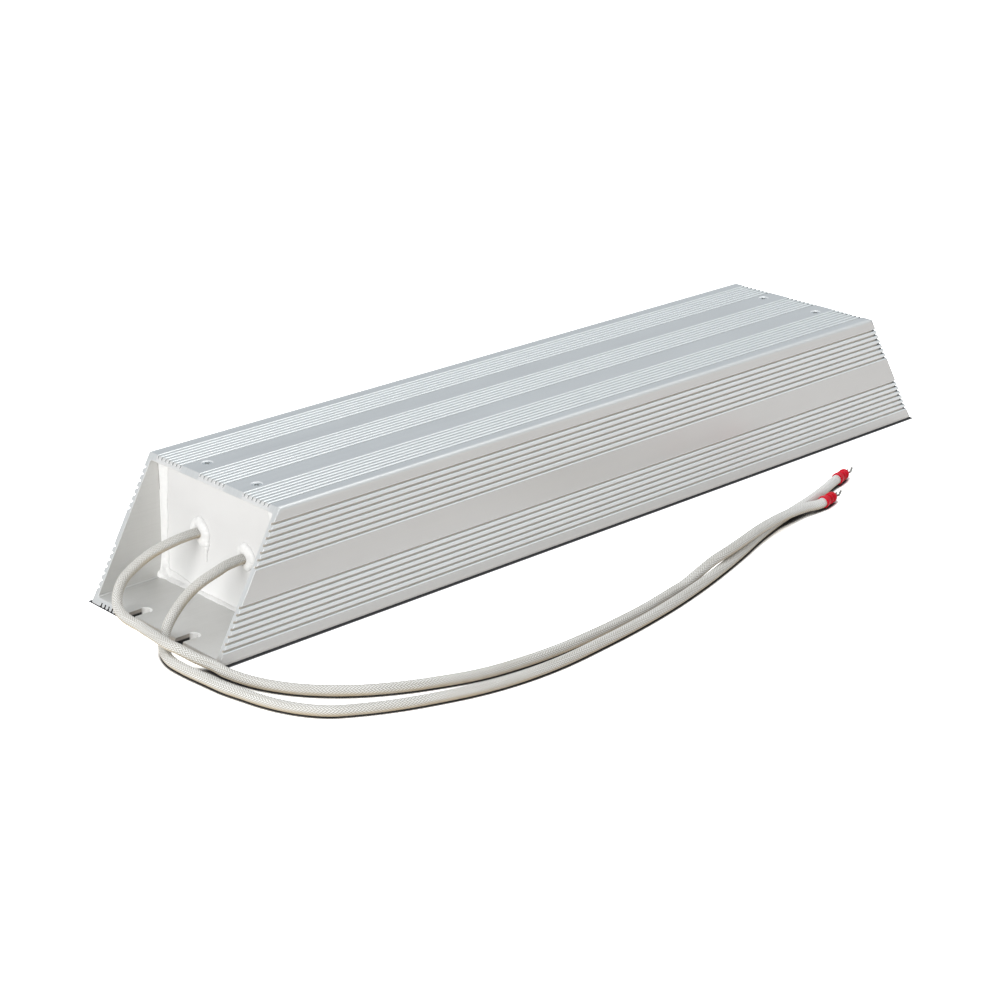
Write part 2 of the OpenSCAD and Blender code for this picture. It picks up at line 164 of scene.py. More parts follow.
def tube(name, path, along, radius, sides):
    """A closed tube along a path. radius(angle share, distance along) gives its surface, and the UV map holds both."""
    _, a, b = frames_along(path)
    u = np.arange(sides) / sides
    grid_u, grid_s = np.meshgrid(u, along)
    r = radius(grid_u, grid_s)
    c, s = np.cos(2 * math.pi * grid_u), np.sin(2 * math.pi * grid_u)
    points = path[:, None, :] + r[..., None] * (c[..., None] * a[:, None, :] + s[..., None] * b[:, None, :])
    verts = points.reshape(-1, 3)
    n = len(path)
    faces, uvs = [], []
    for i in range(n - 1):
        near, far = along[i], along[i + 1]
        for k in range(sides):
            j = (k + 1) % sides
            faces.append((i * sides + k, i * sides + j, (i + 1) * sides + j, (i + 1) * sides + k))
            left, right = k / sides, (k + 1) / sides
            uvs += [(left, near), (right, near), (right, far), (left, far)]
    faces.append(tuple(range(sides))[::-1])
    uvs += [(0.5, 0.0)] * sides
    faces.append(tuple((n - 1) * sides + k for k in range(sides)))
    uvs += [(0.5, along[-1])] * sides
    return new_piece(name, verts, faces, uvs)


# ---------------------------------------------------------------- cords

LEAD_D = 5.0
COLLAR_H = 2.2
BEHIND_PLATE = 7.5  # how deep a lead's end sits behind the plate's face
IN_SLEEVE = 2.5  # how far the other end goes into its sleeve
ROUTE_STEP = 0.38
TUBE_SIDES = 42
PATH_STRIDE = 8
EXITS = {1: (17.0, 33.5), 2: (-18.0, 31.0)}
# The centre line of each lead, with X measured from the housing's lead end
ROUTES = {
    1: [
        (30, 17.5, 33), (26, 18.5, 32), (18, 22, 28.5), (11, 26.5, 22.5), (4, 28.5, 16), (-0.5, 26.5, 10.5),
        (-3.5, 21.5, 7), (-5.5, 11.5, 5.5), (-6, -1, 5.5), (-10, -19, 8), (-10.3, -33, 7.9), (-6.4, -43, 5),
        (-3, -51, 3.1), (-2.4, -60, 2.5), (2, -78.5, 2.5), (6, -87, 2.5), (11, -95, 2.5), (19, -104.5, 2.5),
        (28.5, -113, 2.5), (43, -122.5, 2.5), (58.5, -130, 2.5), (76, -136.5, 2.5), (95.5, -140, 2.5),
        (118.5, -141.5, 2.5), (144, -140.5, 2.5), (172, -137.5, 2.5), (204.5, -131.5, 2.7), (220.5, -129, 5.2),
        (231.5, -127, 6.8), (241.5, -125.5, 7.6), (256, -122, 7.7), (277.5, -116, 7.4), (295.5, -112, 6.7),
        (308.5, -109.5, 5.6), (321, -107.8, 4.3), (332.25, -107.75, 3.3), (333.5, -107.5, 3.3),
    ],
    2: [
        (30, -18.5, 30.7), (24, -19, 29.5), (17, -17.5, 26.5), (11.5, -14, 21), (6.5, -11.5, 14.5), (1, -12, 8.8),
        (-4.5, -16, 4.8), (-9.5, -23.5, 2.6), (-13, -33.5, 2.5), (-13.5, -44.5, 2.5), (-12.5, -60, 2.5),
        (-11.5, -72, 2.5), (-9.5, -82, 2.5), (-7.5, -91.5, 2.5), (-4.5, -101, 2.5), (-0.5, -109.5, 2.5),
        (7.5, -120, 2.5), (17.5, -127, 2.5), (32.5, -135, 2.5), (49, -141.5, 2.5), (66.5, -147, 2.5),
        (86, -150.5, 2.5), (109, -151.5, 2.5), (135, -149.5, 2.5), (163.5, -146, 2.5), (195.5, -140, 2.5),
        (213.5, -135.5, 2.5), (234, -129.5, 2.5), (256.5, -122, 2.5), (279.5, -113.5, 2.5), (299.5, -107.5, 2.5),
        (317.5, -103, 2.5), (333, -99.5, 2.5), (347, -95.8, 2.7), (362.25, -91.35, 3.3), (363.5, -91, 3.3),
    ],
}
CARRIERS = 14  # strands in each direction
LAY = 1.55  # the length of lead along which a strand moves round by one strand


def braid_height(a, b):
    """Height from 0 to 1 of a two over two braid, where a and b count the strands of the two directions."""
    fa, fb = a - np.floor(a), b - np.floor(b)
    over = np.floor((np.floor(a) + np.floor(b)) / 2) % 2
    crown_a = np.sin(math.pi * fa) * (0.75 + 0.25 * np.sin(math.pi * fb))
    crown_b = np.sin(math.pi * fb) * (0.75 + 0.25 * np.sin(math.pi * fa))
    return np.where(over > 0.5, crown_a, crown_b)


def lead_radius(u, s):
    """The braided surface with slow lumps, at u of a turn and s metres along."""
    a = CARRIERS * u + s / (LAY * MM)
    b = CARRIERS * u - s / (LAY * MM)
    lump = 0.035 * np.sin(s / (23 * MM) + 6.3 * u) + 0.025 * np.sin(s / (9.1 * MM) - 12.6 * u)
    return (LEAD_D / 2 - 0.14 + 0.12 * braid_height(a, b) + 0.3 * lump) * MM


leads, centre_lines, mouths = {}, {}, {}
for n in (1, 2):
    y, z = EXITS[n]
    route = [(x - HALF_LENGTH, ry, rz) for x, ry, rz in ROUTES[n]]
    mouth, before = np.array(route[-1]), np.array(route[-2])
    heading = (mouth - before) / np.linalg.norm(mouth - before)
    start = [(-PLATE_X + BEHIND_PLATE, y, z), (-PLATE_X - COLLAR_H - 0.4, y, z)]
    whole = [*start, *route, tuple(mouth + IN_SLEEVE * heading)]
    path, distance = smooth_route(np.array(whole) * MM, ROUTE_STEP * MM)
    leads[n] = tube(f"braided_lead_{n}", path, distance, lead_radius, TUBE_SIDES)
    mouths[n] = (mouth * MM, heading)
    centre_lines[n] = (path[::PATH_STRIDE].tolist() + [path[-1].tolist()], float(distance[-1]))
    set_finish(leads[n], "glass_braid")
    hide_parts(f"lead_{n}")

# ---------------------------------------------------------------- terminal sleeves

# Distance from the mouth and radius, from inside the mouth, over the bell and the two waists, to the round end
SLEEVE_PROFILE = [
    (2.4, 2.52), (0.6, 2.54), (0.12, 2.62), (0.0, 2.8), (0.05, 2.98), (0.3, 3.07), (0.9, 3.08), (1.5, 3.02),
    (2.2, 2.94), (2.9, 2.9), (3.5, 2.86), (3.9, 2.7), (4.3, 2.28), (4.6, 2.1), (4.9, 2.3), (5.4, 2.76),
    (6.0, 2.8), (6.5, 2.66), (6.9, 2.24), (7.2, 2.08), (7.5, 2.3), (8.0, 2.72), (8.6, 2.8), (9.3, 2.76),
    (10.0, 2.6), (10.5, 2.34), (10.85, 2.1), (11.0, 1.86), (10.95, 1.8),
]
SLEEVE_RINGS = 120
CRIMPS = (4.8, 7.15)  # where the tool has flattened the sides
CRIMP_WIDTH = 0.7


def sleeve(name, n):
    """The insulating sleeve of a terminal: a bell mouth, two crimped waists with flattened sides, and a round end."""
    origin, heading = mouths[n]
    ex = Vector(heading)
    ey = Vector((0, 0, 1)).cross(ex).normalized()
    ez = ex.cross(ey)
    knots = np.array(SLEEVE_PROFILE)
    run = np.concatenate([[0], np.cumsum(np.linalg.norm(np.diff(knots, axis=0), axis=1))])
    at = np.linspace(0, run[-1], SLEEVE_RINGS)
    px, pr = np.interp(at, run, knots[:, 0]), np.interp(at, run, knots[:, 1])
    kernel = np.array([1, 2, 3, 2, 1]) / 9
    px = np.convolve(np.pad(px, 2, "edge"), kernel, "valid")
    pr = np.convolve(np.pad(pr, 2, "edge"), kernel, "valid")
    sides = 64
    verts, faces = [], []
    for x, r in zip(px, pr):
        squeeze = sum(0.07 * math.exp(-(((x - crimp) / CRIMP_WIDTH) ** 2)) for crimp in CRIMPS)
        for k in range(sides):
            a = 2 * math.pi * k / sides
            rr = r * (1 - squeeze * math.cos(2 * (a - 0.5)) - 0.012 * math.sin(3 * a + x))
            local = ex * x + ey * (rr * math.cos(a)) + ez * (rr * math.sin(a))
            verts.append(Vector(origin) + local * MM)
    for i in range(len(px) - 1):
        for k in range(sides):
            j = (k + 1) % sides
            faces.append((i * sides + k, (i + 1) * sides + k, (i + 1) * sides + j, i * sides + j))
    piece = new_piece(name, verts, faces)
    thick = piece.modifiers.new("wall", "SOLIDIFY")
    thick.thickness = 0.0001
    thick.offset = -1
    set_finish(piece, "red_vinyl")
    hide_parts(f"terminal_{n}_sleeve")
    return piece


sleeves = {n: sleeve(f"crimped_sleeve_{n}", n) for n in (1, 2)}
for n in (1, 2):
    y, z = EXITS[n]

# ---------------------------------------------------------------- sealant


def blob_piece(name, balls, voxel, node):
    """One smooth lump made of overlapping ellipsoids, in place of a CAD node. Each ball is a centre and three radii, in
    millimetres."""
    bm = bmesh.new()
    for centre, radii in balls:
        made = bmesh.ops.create_icosphere(bm, subdivisions=2, radius=1.0)
        for v in made["verts"]:
            v.co = Vector([(c + r * x) * MM for c, r, x in zip(centre, radii, v.co)])
    mesh = bpy.data.meshes.new(name)
    bm.to_mesh(mesh)
    bm.free()
    piece = bpy.data.objects.new(name, mesh)
    bpy.context.scene.collection.objects.link(piece)
    remesh = piece.modifiers.new("remesh", "REMESH")
    remesh.mode = "VOXEL"
    remesh.voxel_size = voxel * MM
    soften = piece.modifiers.new("soften", "SMOOTH")
    soften.factor = 0.5
    soften.iterations = 4
    graph = bpy.context.evaluated_depsgraph_get()
    baked = bpy.data.meshes.new_from_object(piece.evaluated_get(graph))
    piece.modifiers.clear()
    piece.data = baked
    baked.name = name
    baked.polygons.foreach_set("use_smooth", [True] * len(baked.polygons))
    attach(piece, "root")
    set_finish(piece, "silicone_sealant")
    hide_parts(node)
    return piece


rng = np.random.default_rng(11)
WALL_Y, FLOOR_Z, CEILING_Z = 47.0, 3.0, 62.0


def keep_inside(piece, side):
    """Flattens a bead against the walls, the floor and the plate that it is pressed on."""
    for v in piece.data.vertices:
        v.co.y = max(-WALL_Y * MM, min(WALL_Y * MM, v.co.y))
        v.co.z = max(FLOOR_Z * MM, min(CEILING_Z * MM, v.co.z))
        inner = side * (PLATE_X - 0.4) * MM
        v.co.x = min(v.co.x, inner) if side < 0 else max(v.co.x, inner)
    piece.data.update()


def along(value, knots):
    """The width at a place along a bead, from a few (place, width) pairs."""
    return float(np.interp(value, [k[0] for k in knots], [k[1] for k in knots]))


def bead_balls(side, wall_out, wall_in, floor_out, floor_in):
    """Ellipsoids along the walls and the floor, where the end plate meets them. side is -1 at the lead end. Each list
    gives widths: out along the wall or the floor, and in over the plate."""
    balls = []
    x = side * PLATE_X
    for y_sign in (-1, 1):
        for z in np.arange(FLOOR_Z + 1, CEILING_Z, 0.7):
            out, wide = along(z, wall_out), along(z, wall_in)
            wide += 0.25 * math.sin(z * 0.37 + 2 * y_sign) + 0.12 * rng.standard_normal()
            thick = 0.75 + 0.12 * math.sin(z * 0.21) + 0.05 * rng.standard_normal()
            balls.append(((x, y_sign * (WALL_Y - wide / 2), z), (thick, wide / 2 + 0.3, 1.2)))
            if out > 0.35:
                balls.append(((x, y_sign * (WALL_Y + 0.2), z), (out + 0.1, 1.6 + 0.1 * rng.standard_normal(), 1.2)))
    for y in np.arange(-WALL_Y, WALL_Y + 0.1, 0.7):
        out, wide = along(y, floor_out), along(y, floor_in)
        out += 0.3 * math.sin(y * 0.23) + 0.15 * math.sin(y * 0.71)
        balls.append(((x, y, FLOOR_Z - 0.1), (out + 0.1, 1.2, 1.1 + 0.1 * rng.standard_normal())))
        balls.append(((x, y, FLOOR_Z + wide / 2), (0.9, 1.2, wide / 2 + 0.4 + 0.08 * rng.standard_normal())))
    return balls


def corner_balls(side, y_sign, size):
    """The lump that the nozzle leaves in a bottom corner."""
    x, y = side * PLATE_X, y_sign * WALL_Y
    return [
        ((x, y, FLOOR_Z + 1), (5.2 * size, 3.0 * size, 3.4 * size)),
        ((x + side * 1.2, y - y_sign * 1.5, FLOOR_Z + 0.6), (3.6 * size, 3.4 * size, 2.6 * size)),
        ((x, y - y_sign * 3.5, FLOOR_Z + 2), (1.7 * size, 3.6 * size, 2.4 * size)),
        ((x, y - y_sign * 0.5, FLOOR_Z + 6.5), (1.8 * size, 2.2 * size, 3.6 * size)),
    ]


lead_balls = bead_balls(
    -1,
    wall_out=[(3, 4.0), (10, 2.4), (14, 1.6), (22, 1.2), (35, 0.7), (47, 0.3), (60, 0.2)],
    wall_in=[(3, 3.2), (23, 4.0), (40, 5.8), (49, 6.8), (60, 8.6)],
    floor_out=[(-47, 3.2), (-12, 2.4), (6, 2.0), (20, 2.4), (30, 3.4), (41, 3.8), (47, 4.4)],
    floor_in=[(-47, 3.4), (-20, 1.6), (-6, 0.5), (19, 0.3), (25, 1.4), (31, 2.8), (37, 3.6), (47, 4.0)],
)
lead_balls += corner_balls(-1, 1, 1.0) + corner_balls(-1, -1, 0.75)
lead_bead = blob_piece("sealant_bead_lead_end", lead_balls, 0.32, "lead_end_seal")
keep_inside(lead_bead, -1)
blank_balls = bead_balls(
    1,
    wall_out=[(3, 2.6), (20, 1.6), (40, 1.0), (60, 0.5)],
    wall_in=[(3, 4.2), (30, 4.8), (60, 5.4)],
    floor_out=[(-47, 3.0), (-15, 2.0), (10, 2.6), (47, 3.2)],
    floor_in=[(-47, 3.6), (-15, 2.4), (10, 3.0), (47, 3.8)],
)
blank_balls += corner_balls(1, 1, 0.8) + corner_balls(1, -1, 0.9)
blank_bead = blob_piece("sealant_bead_blank_end", blank_balls, 0.36, "blank_end_seal")
keep_inside(blank_bead, 1)

COLLAR_BALLS = 44

# The outer radius of each collar at a few angles round its lead, from +Y through +Z, and its drip down the plate
COLLARS = {
    1: {
        "reach": [(0, 5.4), (25, 5.8), (60, 6.2), (95, 8.0), (125, 9.0), (160, 9.2), (195, 8.6), (225, 8.8),
                  (250, 5.0), (290, 3.6), (330, 4.2), (360, 5.4)],
        "drip": [(10.3, 29.5, 1.5), (11.0, 27.2, 1.3), (11.6, 25.0, 1.0), (11.9, 23.0, 0.85), (12.0, 21.6, 0.8)],
    },
    2: {
        "reach": [(0, 4.2), (30, 4.6), (75, 6.8), (105, 8.2), (125, 8.6), (150, 9.0), (175, 8.4), (210, 6.2),
                  (250, 5.2), (285, 4.2), (330, 4.0), (360, 4.2)],
        "drip": [(-21.2, 27.4, 1.3), (-20.4, 26.6, 1.1)],
    },
}


def collar_balls(n):
    """Ellipsoids in a ring on the plate round a lead, and down its drip."""
    y, z = EXITS[n]
    balls = []
    for k in range(COLLAR_BALLS):
        angle = 2 * math.pi * k / COLLAR_BALLS
        reach = along(math.degrees(angle), COLLARS[n]["reach"]) + 0.15 * rng.standard_normal()
        middle, half = (reach + 2.2) / 2, (reach - 2.2) / 2 + 0.2
        high = (0.8 + 0.14 * reach) * (1 + 0.12 * math.sin(3 * angle + n)) + 0.08 * rng.standard_normal()
        cy, cz = math.cos(angle), math.sin(angle)
        wide, tall = half * abs(cy) + 0.9 * abs(cz), half * abs(cz) + 0.9 * abs(cy)
        balls.append(((-PLATE_X, y + middle * cy, z + middle * cz), (high, wide, tall)))
    for dy, dz, r in COLLARS[n]["drip"]:
        balls.append(((-PLATE_X, dy, dz), (r, r, 1.5)))
    return balls


for n in (1, 2):
    collar = blob_piece(f"sealant_collar_{n}", collar_balls(n), 0.24, f"lead_{n}_seal")
    keep_inside(collar, -1)

# ---------------------------------------------------------------- materials


class Shader:
    """A node material that is built one node at a time. Inputs are constants or the sockets of other nodes."""

    def __init__(self, name):
        self.material = bpy.data.materials.new(name)
        self.material.use_nodes = True
        self.tree = self.material.node_tree
        self.tree.nodes.clear()

    def node(self, kind, settings=None, **inputs):
        made = self.tree.nodes.new(kind)
        for key, value in (settings or {}).items():
            setattr(made, key, value)
        for key, value in inputs.items():
            name = key.replace("_", " ")
            socket = made.inputs[int(key[1:])] if key[0] == "i" and key[1:].isdigit() else made.inputs[name]
            if isinstance(value, bpy.types.NodeSocket):
                self.tree.links.new(value, socket)
            else:
                socket.default_value = value
        return made

    def math(self, op, a, b=0.0, c=0.0):
        return self.node("ShaderNodeMath", {"operation": op}, i0=a, i1=b, i2=c).outputs[0]

    def mix(self, share, a, b):
        made = self.node("ShaderNodeMix", {"data_type": "RGBA"}, i0=share)
        for socket, value in ((made.inputs[6], a), (made.inputs[7], b)):
            if isinstance(value, bpy.types.NodeSocket):
                self.tree.links.new(value, socket)
            else:
                socket.default_value = (*value, 1.0)
        return made.outputs[2]

    def less(self, a, b):
        return self.math("LESS_THAN", a, b)

    def minus(self, a, b):
        return self.math("SUBTRACT", a, b)

    def plus(self, a, b):
        return self.math("ADD", a, b)

    def size(self, a):
        return self.math("ABSOLUTE", a)

    def product(self, first, *others):
        for other in others:
            first = self.math("MULTIPLY", first, other)
        return first

    def radius(self, a, b):
        return self.math("SQRT", self.plus(self.product(a, a), self.product(b, b)))

    def position(self):
        """X, Y and Z of the object coordinates."""
        coords = self.node("ShaderNodeTexCoord").outputs["Object"]
        return self.node("ShaderNodeSeparateXYZ", None, Vector=coords).outputs

    def facing(self):
        """X, Y and Z of the surface's normal."""
        normal = self.node("ShaderNodeNewGeometry").outputs["Normal"]
        return self.node("ShaderNodeSeparateXYZ", None, Vector=normal).outputs

    def place(self, scale=(1.0, 1.0, 1.0)):
        """Object coordinates stretched by scale."""
        coords = self.node("ShaderNodeTexCoord").outputs["Object"]
        return self.node("ShaderNodeMapping", None, Vector=coords, Scale=scale).outputs[0]

    def noise(self, where, scale, detail, rough=0.55):
        made = self.node("ShaderNodeTexNoise", None, Vector=where, Scale=scale, Detail=detail, Roughness=rough)
        return made.outputs["Fac"]

    def span(self, value, low, high, out_low=0.0, out_high=1.0):
        made = self.node("ShaderNodeMapRange", None, Value=value)
        for key, number in (("From Min", low), ("From Max", high), ("To Min", out_low), ("To Max", out_high)):
            made.inputs[key].default_value = number
        return made.outputs[0]

    def rise(self, length, low, high):
        """0 below low and 1 above high, both in millimetres."""
        return self.span(length, low * MM, high * MM)

    def fall(self, length, low, high):
        """1 below low and 0 above high, both in millimetres."""
        return self.span(length, low * MM, high * MM, 1.0, 0.0)

    def bump(self, height, distance, strength, normal=None):
        made = self.node("ShaderNodeBump", None, Height=height, Strength=strength, Distance=distance)
        if normal is not None:
            self.tree.links.new(normal, made.inputs["Normal"])
        return made.outputs[0]

    def finish(self, **inputs):
        """The Principled shader and the output. Keys are its socket names with underscores."""
        bsdf = self.node("ShaderNodeBsdfPrincipled", None, **inputs)
        out = self.node("ShaderNodeOutputMaterial")
        self.tree.links.new(bsdf.outputs[0], out.inputs[0])
        return self.material


def extrusion_zones(s):
    """Masks of the extrusion's surfaces, from the place on it and the way that it faces."""
    zone = SimpleNamespace()
    here, facing = s.position(), s.facing()
    x, y = s.size(here[0]), s.size(here[1])
    level = s.size(s.minus(here[2], MID_HEIGHT * MM))
    from_side, from_top = s.minus(HALF_WIDTH * MM, y), s.minus(MID_HEIGHT * MM, level)
    depth = s.math("MINIMUM", from_side, from_top)  # below the outer surface
    zone.on_side = s.less(from_side, from_top)
    zone.on_top = s.minus(1.0, zone.on_side)  # and on the underside

    # The ribbed bands, with the walls and the bottoms of their grooves, the underside band near the floor that takes a
    # painted shadow, and the long corners that take a painted highlight
    across_top = s.math("MINIMUM", y, s.size(s.minus(y, OUTER_BAND_Y * MM)))
    across_side = s.size(s.minus(level, SIDE_BAND_Z * MM))
    across = s.plus(s.product(across_side, zone.on_side), s.product(across_top, zone.on_top))
    zone.ribbed = s.fall(across, 9.8, 10.1)
    zone.wall = s.product(s.rise(depth, 0.12, 0.4), zone.ribbed)
    zone.deep = s.product(s.rise(depth, 1.42, 1.56), zone.ribbed)
    zone.under = s.product(s.less(here[2], 1.9 * MM), s.product(zone.ribbed, zone.on_top))
    zone.worn = s.product(s.fall(from_side, 1.0, 2.6), s.fall(from_top, 0.6, 2.6))

    # The hollow, with its level faces and its bottom corners, where painted shade darkens the lining
    zone.inside = s.rise(depth, 2.6, 2.8)
    zone.level_face = s.span(s.size(facing[2]), 0.5, 0.8)
    zone.corner = s.product(s.rise(y, 45.9, 46.1), s.fall(here[2], 3.9, 4.1))

    # The sawn faces, and the ends of the grooves beside them: painted shade darkens them at the blank end and painted
    # light makes them pale on top of the lead end
    slope = s.plus(s.product(s.size(facing[0]), 0.866), s.product(facing[2], 0.5))
    zone.sawn = s.span(slope, 0.985, 0.995)
    to_end = s.minus(s.minus(HALF_LENGTH * MM, s.product(here[2], MITRE)), x)
    tooth = s.product(s.fall(to_end, 1.2, 1.9), s.rise(depth, 0.1, 0.4), zone.ribbed)
    blank_end = s.math("GREATER_THAN", here[0], 0.0)
    zone.blank_end_tooth = s.product(tooth, blank_end)
    upper = s.math("GREATER_THAN", here[2], MID_HEIGHT * MM)
    zone.lead_end_tooth = s.product(tooth, zone.on_top, s.minus(1.0, blank_end), upper)

    # The sinks of the screws, and the slots' walls and rims, which carry painted highlights and painted shadow
    off_screw, off_hole = s.minus(x, SCREW_X * MM), s.minus(y, HOLE_Y * MM)
    sloping = s.span(facing[2], 0.8, 0.95, 1.0, 0.0)
    zone.sink = s.product(s.fall(s.radius(off_screw, off_hole), 2.95, 3.1), sloping)
    upright = s.span(s.size(facing[2]), 0.2, 0.4, 1.0, 0.0)
    zone.slot = s.product(upright, s.rise(x, 226, 226.5), s.fall(s.size(off_hole), 2.9, 3.0))
    zone.slot_top = s.rise(here[2], 1.0, 1.6)
    zone.slot_end = s.span(s.size(facing[0]), 0.1, 0.35)
    off_slot = s.minus(x, SLOT_X * MM)
    lip = s.product(s.fall(s.radius(off_slot, off_hole), 3.7, 4.1), s.fall(off_slot, -1.8, -0.8))
    zone.lip = s.product(lip, s.less(here[2], 3.2 * MM))

    # The long edges, which are rounded more
    long_edge = s.product(s.rise(y, 46.6, 47.2), s.rise(level, 29.1, 29.7))
    zone.long_edge = s.product(long_edge, s.minus(1.0, zone.sawn))
    return zone


def aluminium():
    """Satin anodised extrusion. The ribs are painted paler than the plain strips as a painted highlight, the grooves on
    the sides have a painted brownish shade at the bottom, the long edges carry a painted pale highlight, and the sawn
    ends show fine marks."""
    s = Shader("anodised_aluminium")
    lines = s.noise(s.place((4.0, 1500.0, 1500.0)), 1.0, 2.0)
    streak = s.noise(s.place((30.0, 30.0, 3.0)), 5.0, 3.0)
    cloud = s.noise(s.place((18.0, 30.0, 30.0)), 1.0, 4.0)
    grain = s.noise(s.place(), 2600.0, 2.0)
    marks = s.noise(s.place((30.0, 900.0, 60.0)), 1.0, 3.0)
    zone = extrusion_zones(s)

    flat = s.mix(s.span(cloud, 0.35, 0.65), (0.575, 0.572, 0.57), (0.605, 0.602, 0.6))
    flat = s.mix(s.span(lines, 0.4, 0.62, 0.0, 0.3), flat, (0.635, 0.632, 0.63))
    # Painted light: the plain strips on the sides are painted paler than those on top.
    flat = s.mix(s.product(zone.on_side, 0.3), flat, (0.76, 0.75, 0.745))
    # Painted highlight: the ribs and the walls of their grooves are paler than the plain strips, and palest on the
    # sides.
    rib = s.mix(zone.on_side, (0.74, 0.745, 0.735), (0.79, 0.81, 0.82))
    wall = s.mix(zone.on_side, (0.8, 0.8, 0.79), (0.87, 0.87, 0.855))
    # Painted shade: the bottoms of the grooves, brownish on the sides.
    groove = s.mix(zone.on_side, (0.7, 0.71, 0.72), (0.7, 0.63, 0.56))
    # Painted shade: the level faces of the hollow are darker than its walls, and its bottom corners darker still.
    lining = s.mix(zone.level_face, (0.705, 0.7, 0.68), (0.66, 0.655, 0.64))
    lining = s.mix(s.span(streak, 0.3, 0.7, 0.0, 0.12), lining, (0.5, 0.49, 0.47))
    lining = s.mix(s.product(zone.corner, 0.4), lining, (0.42, 0.42, 0.41))
    # Painted shadow and highlight: a slot's wall is near black at the bottom, grey-brown above and near white at its
    # round end.
    slot_wall = s.mix(zone.slot_top, (0.04, 0.04, 0.04), (0.42, 0.39, 0.36))
    slot_wall = s.mix(zone.slot_end, slot_wall, (0.97, 0.97, 0.96))
    cut = s.mix(s.span(marks, 0.35, 0.65), (0.75, 0.73, 0.71), (0.79, 0.77, 0.75))

    colour = flat
    for share, layer in (
        (zone.ribbed, rib),
        (zone.wall, wall),
        (zone.deep, groove),
        # painted shadow on the underside's ribbed band near the floor
        (zone.under, (0.1, 0.095, 0.09)),
        # painted shade in the groove ends at the blank end
        (s.product(zone.blank_end_tooth, 0.85), (0.08, 0.08, 0.08)),
        # painted light in the groove ends on top of the lead end
        (s.product(zone.lead_end_tooth, 0.6), (0.7, 0.7, 0.69)),
        (zone.inside, lining),
        # painted highlight on the screw sinks
        (zone.sink, (0.76, 0.765, 0.765)),
        (zone.slot, slot_wall),
        # painted highlight on the rims round the slots' ends
        (zone.lip, (0.98, 0.98, 0.97)),
        # painted highlight along the long edges
        (s.product(zone.worn, 0.5), (0.78, 0.77, 0.745)),
        (zone.sawn, cut),
    ):
        colour = s.mix(share, colour, layer)

    # The painted highlights on the slot rims, the screw sinks and the groove ends on top of the lead end are also less
    # metallic.
    matt = s.math("MAXIMUM", s.product(zone.lip, 0.7), s.product(zone.sink, 0.4))
    matt = s.math("MAXIMUM", matt, s.product(zone.lead_end_tooth, 0.3))
    rough = s.plus(s.span(lines, 0.3, 0.7, 0.33, 0.42), s.span(grain, 0.3, 0.7, -0.02, 0.03))
    rough = s.plus(rough, s.product(zone.inside, 0.14))
    small = s.node("ShaderNodeBevel", {"samples": 4}, Radius=0.22 * MM).outputs[0]
    large = s.node("ShaderNodeBevel", {"samples": 8}, Radius=2.8 * MM).outputs[0]
    edge = s.node("ShaderNodeMix", {"data_type": "VECTOR"}, i0=zone.long_edge, i4=small, i5=large).outputs[1]
    height = s.plus(s.product(lines, 0.6), s.product(grain, 0.4))
    return s.finish(
        Base_Color=colour,
        Metallic=s.minus(0.9, matt),
        Roughness=rough,
        Normal=s.bump(height, 0.00002, 0.35, edge),
    )


def painted_plate():
    """White satin paint, with painted light that makes it paler in the lower part, against the shade of the recess."""
    s = Shader("painted_plate")
    peel = s.noise(s.place(), 900.0, 2.0)
    cloud = s.noise(s.place(), 45.0, 4.0)
    colour = s.mix(s.span(cloud, 0.35, 0.7), (0.675, 0.669, 0.66), (0.695, 0.689, 0.68))
    # Painted light: paler towards the bottom of the plate.
    colour = s.mix(s.fall(s.position()[2], 5, 42), colour, (0.83, 0.826, 0.815))
    return s.finish(
        Base_Color=colour, Roughness=s.span(cloud, 0.3, 0.7, 0.42, 0.52), Normal=s.bump(peel, 0.00004, 0.4)
    )


def screw_steel():
    """Plated steel, with painted light that makes the cross recess pale."""
    s = Shader("plated_screw")
    fine = s.noise(s.place(), 1800.0, 3.0)
    colour = s.mix(s.span(fine, 0.3, 0.7), (0.5, 0.51, 0.52), (0.6, 0.61, 0.61))
    # Painted light: the cross recess below the head's top is painted pale against its shade.
    recess = s.fall(s.position()[2], 64.3, 64.55)
    colour = s.mix(recess, colour, (0.92, 0.92, 0.91))
    return s.finish(
        Base_Color=colour, Metallic=1.0, Roughness=s.span(fine, 0.3, 0.7, 0.2, 0.34), Normal=s.bump(fine, 0.00002, 0.4)
    )


def silicone():
    """White sealant, greyer where it thins out on the plate."""
    s = Shader("silicone_sealant")
    wave = s.noise(s.place(), 420.0, 3.0)
    cloud = s.noise(s.place(), 90.0, 2.0)
    thick = s.minus(s.size(s.position()[0]), PLATE_X * MM)
    colour = s.mix(s.span(cloud, 0.35, 0.7), (0.79, 0.786, 0.773), (0.83, 0.826, 0.815))
    colour = s.mix(s.rise(thick, 0.05, 0.35), (0.68, 0.675, 0.665), colour)
    return s.finish(
        Base_Color=colour,
        Roughness=s.span(cloud, 0.3, 0.7, 0.28, 0.4),
        Normal=s.bump(wave, 0.00012, 0.5),
        Specular_IOR_Level=0.3,
    )


